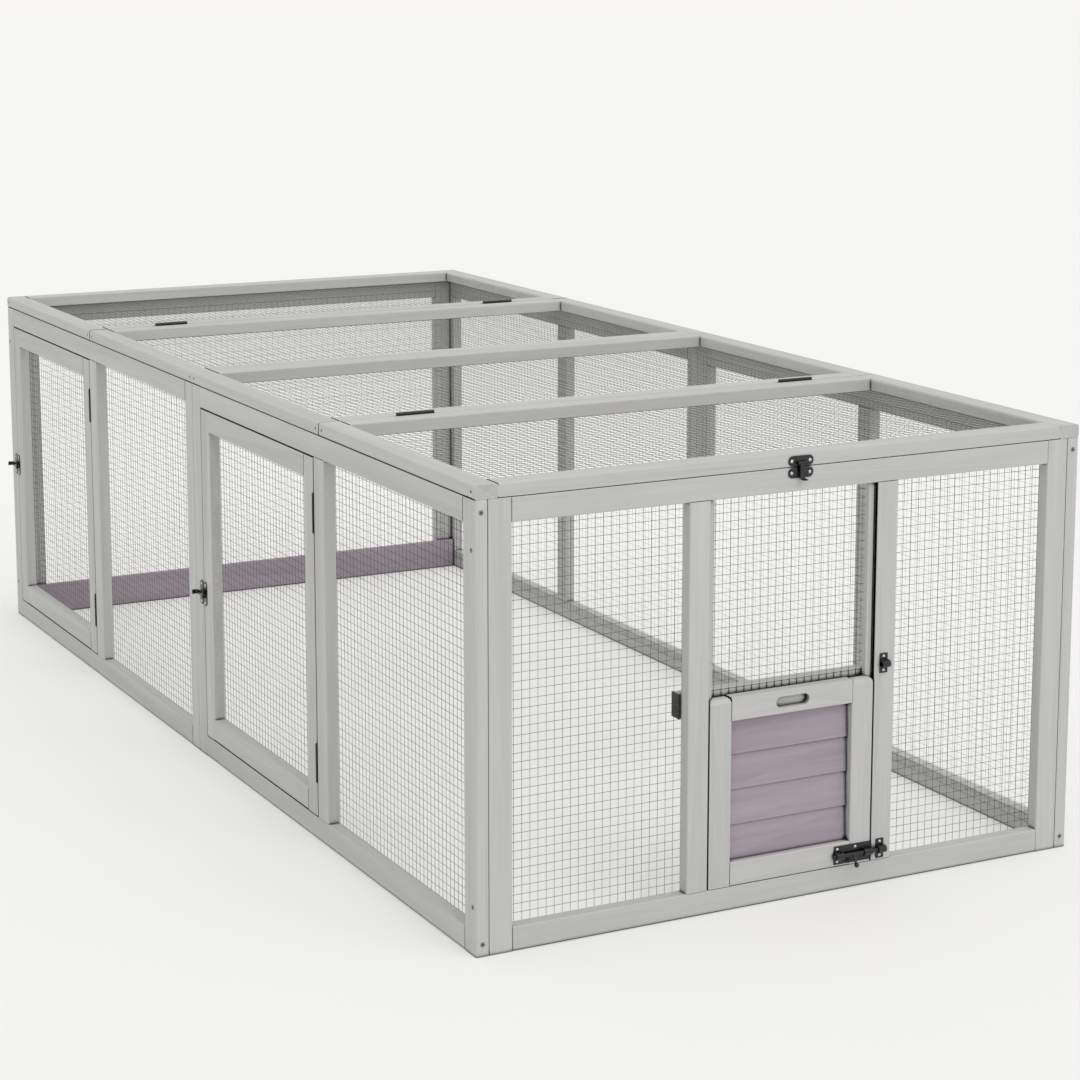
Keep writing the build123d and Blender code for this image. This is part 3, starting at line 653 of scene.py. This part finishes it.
@dataclass(frozen=True)
class CrossRecessShade:
    """The painted shade in the cross recess of every screw of a CAD node: a dark cross that fills the recess.

    Args:
        node: the CAD node, whose screws are longer than their heads are wide.
        body: the body that it rides on.
        length: the length of each slot of the cross.
        width: the slot's width.
        proud: how far the dark filling, which paints the recess's shade, stands above the head, so that it
            shows.
        depth: how far it goes into the head.
    """

    node: str
    body: str
    length: float = 0.0044
    width: float = 0.0013
    proud: float = 0.00008
    depth: float = 0.0006

    def bars(self, low: np.ndarray, high: np.ndarray) -> list[np.ndarray]:
        """Works out one cross: two bars across the end of the screw that is further from the run's middle.

        Args:
            low: the screw's lowest corner.
            high: its highest corner.

        Returns:
            Each bar's lowest and highest corner.
        """
        middle = (low + high) / 2
        outward = int(np.argmax(high - low))
        side = 1 if middle[outward] > 0 else -1
        top = (high if side > 0 else low)[outward]
        first, second = (axis for axis in range(3) if axis != outward)
        result = []
        for long, short in ((first, second), (second, first)):
            bar = np.empty((2, 3))
            bar[:, long] = middle[long] - self.length / 2, middle[long] + self.length / 2
            bar[:, short] = middle[short] - self.width / 2, middle[short] + self.width / 2
            bar[:, outward] = sorted((top - side * self.depth, top + side * self.proud))
            result.append(bar)
        return result

    def build(self, material: bpy.types.Material) -> None:
        """Makes all the crosses as one object: each bar is a box between its two corners.

        Args:
            material: the filling's material.
        """
        picks = np.array([(a, b, c) for a in (0, 1) for b in (0, 1) for c in (0, 1)])
        quads = np.array([(0, 1, 3, 2), (4, 6, 7, 5), (0, 4, 5, 1),
                          (2, 3, 7, 6), (0, 2, 6, 4), (1, 5, 7, 3)])
        bars = [bar for low, high in islands(self.node) for bar in self.bars(low, high)]
        points = np.concatenate([bar[picks, np.arange(3)] for bar in bars])
        faces = np.concatenate([quads + len(picks) * index for index in range(len(bars))])
        mesh = bpy.data.meshes.new(f"{self.node}_recess")
        mesh.from_pydata(points.tolist(), [], faces.tolist())
        mesh.materials.append(material)
        cross = bpy.data.objects.new(f"{self.node}_recess", mesh)
        bpy.context.collection.objects.link(cross)
        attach(cross, self.body)
        LOG.info("%s: %d crosses", self.node, len(bars) // 2)


@dataclass(frozen=True)
class Studio:
    """The pale room, its soft light and its floor.

    Args:
        room: the colour of the light from all sides.
        seen: the background's colour as the camera sees it.
        sun: the strength of the broad light above the pop door end.
        sun_angle: its width in degrees.
        sun_side: where it comes from.
        reach: half the floor's side.
        drop: how far the floor lies under the run.
        floor_scale: the scale of the floor's faint patches.
        floor_range: the part of the noise's values that is spread over the floor's tones.
        floor_tones: the floor's darkest and lightest tone.
        floor_blue: its blue, as a share of the tone.
        white: the white that the camera sees on the floor.
        white_share: the share of that white.
    """

    room: tuple = (0.88, 0.876, 0.870, 1)
    seen: tuple = (0.922, 0.913, 0.896, 1)
    sun: float = 0.75
    sun_angle: float = 50.0
    sun_side: tuple = (0.6, 0.12, 0.79)
    reach: float = 40.0
    drop: float = 0.0004
    floor_scale: float = 3.0
    floor_range: tuple = (0.3, 0.7)
    floor_tones: tuple = (0.862, 0.872)
    floor_blue: float = 0.985
    white: tuple = (0.92, 0.912, 0.895, 1)
    white_share: float = 0.35

    def light(self) -> None:
        """Lights the room."""
        world = bpy.data.worlds.new("studio")
        world.use_nodes = True
        sky = NodeTree(world.node_tree)
        room = sky.tree.nodes["Background"]
        sky.feed(room, {"Color": self.room})
        seen = sky.add("ShaderNodeBackground", {"Color": self.seen})
        by_camera = sky.add("ShaderNodeLightPath").outputs["Is Camera Ray"]
        both = sky.add("ShaderNodeMixShader", {0: by_camera, 1: room.outputs[0], 2: seen.outputs[0]})
        sky.feed(sky.tree.nodes["World Output"], {0: both.outputs[0]})
        bpy.context.scene.world = world
        data = bpy.data.lights.new("key", "SUN")
        data.energy = self.sun
        data.angle = math.radians(self.sun_angle)
        sun = bpy.data.objects.new("key", data)
        sun.rotation_euler = Vector(self.sun_side).to_track_quat("Z", "Y").to_euler()
        bpy.context.collection.objects.link(sun)

    def lay_floor(self) -> None:
        """Lays a plain pale floor under the run."""
        mesh = bpy.data.meshes.new("floor")
        signs = ((-1, -1), (1, -1), (1, 1), (-1, 1))
        mesh.from_pydata([(x * self.reach, y * self.reach, 0) for x, y in signs], [], [(0, 1, 2, 3)])
        floor = bpy.data.objects.new("floor", mesh)
        floor.location.z = -self.drop
        shader = MaterialTree("floor")
        patches = shader.noise(shader.place(), self.floor_scale)
        tone = shader.spread(patches, *self.floor_range, *self.floor_tones)
        blue = shader.product(tone, self.floor_blue)
        colour = shader.add("ShaderNodeCombineColor", {"Red": tone, "Green": tone, "Blue": blue}).outputs[0]
        shader.feed(shader.surface, {"Base Color": colour, "Roughness": 1.0, "Specular IOR Level": 0.0})
        white = shader.add("ShaderNodeEmission", {"Color": self.white, "Strength": 1.0})
        by_camera = shader.add("ShaderNodeLightPath").outputs["Is Camera Ray"]
        both = shader.add("ShaderNodeMixShader", {0: shader.product(by_camera, self.white_share),
                                                  1: shader.surface.outputs[0], 2: white.outputs[0]})
        shader.feed(shader.tree.nodes["Material Output"], {"Surface": both.outputs[0]})
        mesh.materials.append(shader.material)
        bpy.context.collection.objects.link(floor)


def islands(node: str) -> list[Corners]:
    """Finds the separate solids of a CAD node: points that edges join share the lowest label among them.

    Args:
        node: the CAD node.

    Returns:
        The lowest and highest corner of each solid.
    """
    mesh = FRAME["nodes"][node].data
    points = np.empty(len(mesh.vertices) * 3, np.float32)
    mesh.vertices.foreach_get("co", points)
    edges = np.empty(len(mesh.edges) * 2, np.int32)
    mesh.edges.foreach_get("vertices", edges)
    points, welded = np.unique(points.reshape(-1, 3).round(5), axis=0, return_inverse=True)
    first, second = welded.ravel()[edges].reshape(-1, 2).T
    labels = np.arange(len(points))
    while True:
        lowest = np.minimum(labels[first], labels[second])
        moved = labels.copy()
        np.minimum.at(moved, first, lowest)
        np.minimum.at(moved, second, lowest)
        moved = moved[moved]
        if np.array_equal(moved, labels):
            break
        labels = moved
    groups = [points[labels == label] for label in np.unique(labels)]
    return [(group.min(axis=0), group.max(axis=0)) for group in groups]


def paint_node(node: str, material: bpy.types.Material) -> None:
    """Gives a CAD node a new material in all its slots.

    Args:
        node: the CAD node.
        material: the material.
    """
    materials = FRAME["nodes"][node].data.materials
    if not materials:
        materials.append(material)
    for index in range(len(materials)):
        materials[index] = material
    LOG.info("%s: %s", node, material.name)


def timbers() -> list[Timber]:
    """Lists the wooden nodes.

    Returns:
        Every wooden node, with the way its boards run.
    """
    upright = ("near_side_stiles", "far_side_stiles", "side_mid_posts", "end_stiles", "pop_end_posts",
               "pop_door_guide_strips")
    lengthwise = ("near_side_rails", "far_side_rails", "fixed_roof_side_rails")
    crosswise = ("pop_end_rails", "back_end_rails", "fixed_roof_cross_rails", "pop_door_lintel")
    stained = ("pop_door_boards", "back_end_kick_board")
    result = [Timber(node, Axis.Z) for node in upright]
    result += [Timber(node, Axis.X) for node in lengthwise]
    result += [Timber(node, Axis.Y) for node in crosswise]
    result += [Timber(node, Axis.Y, paint=TINTED_STAIN) for node in stained]
    result += [Timber(f"{side}_door_frame", Axis.X, Axis.Z, Axis.X) for side in ("front", "rear")]
    result += [Timber(f"{side}_lid_frame", Axis.Y, Axis.X, Axis.Y) for side in ("front", "rear")]
    result.append(Timber("pop_door_frame", Axis.Y, Axis.Z, Axis.Y, stile=POP_DOOR_STILE))
    return result


def weave_nets(wire: bpy.types.Material) -> None:
    """Replaces every CAD net with fine welded wire, thinner on the far side and the back end.

    Args:
        wire: the wire's material.
    """
    for body, nodes in FRAME["record"]["behaviour"]["bodies"].items():
        for node in nodes:
            if node in FAR_NETS:
                WireNet(node, body, radius=FAR_WIRE_RADIUS).build(wire)
            elif node.endswith("_mesh"):
                WireNet(node, body).build(wire)


def place_camera(pose: CameraPose) -> None:
    """Puts the camera where the photograph was taken from.

    Args:
        pose: the camera's place, direction and lens.
    """
    data = bpy.data.cameras.new("camera")
    data.sensor_width = pose.sensor_mm
    data.lens = pose.focal_px / pose.frame_px * pose.sensor_mm
    data.shift_y = -pose.rise_px / pose.frame_px
    camera = bpy.data.objects.new("camera", data)
    camera.location = pose.place
    camera.rotation_euler = Euler((math.radians(90 - pose.tilt), 0, math.radians(pose.turn)))
    bpy.context.collection.objects.link(camera)
    bpy.context.scene.camera = camera


def main() -> None:
    """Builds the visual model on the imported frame."""
    logging.basicConfig(level=logging.INFO)
    FRAME.update(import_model())
    bpy.context.scene.view_settings.view_transform = "Standard"
    place_camera(CameraPose())
    painted_grain = PaintedGrain().build()
    for timber in timbers():
        paint_node(timber.node, timber.material(painted_grain))
    fittings = Fittings(UnevenMetal().build())
    fittings.dress()
    weave_nets(fittings.material("net_wire", WIRE))
    studio = Studio()
    studio.light()
    studio.lay_floor()


if __name__ == "__main__":
    main()
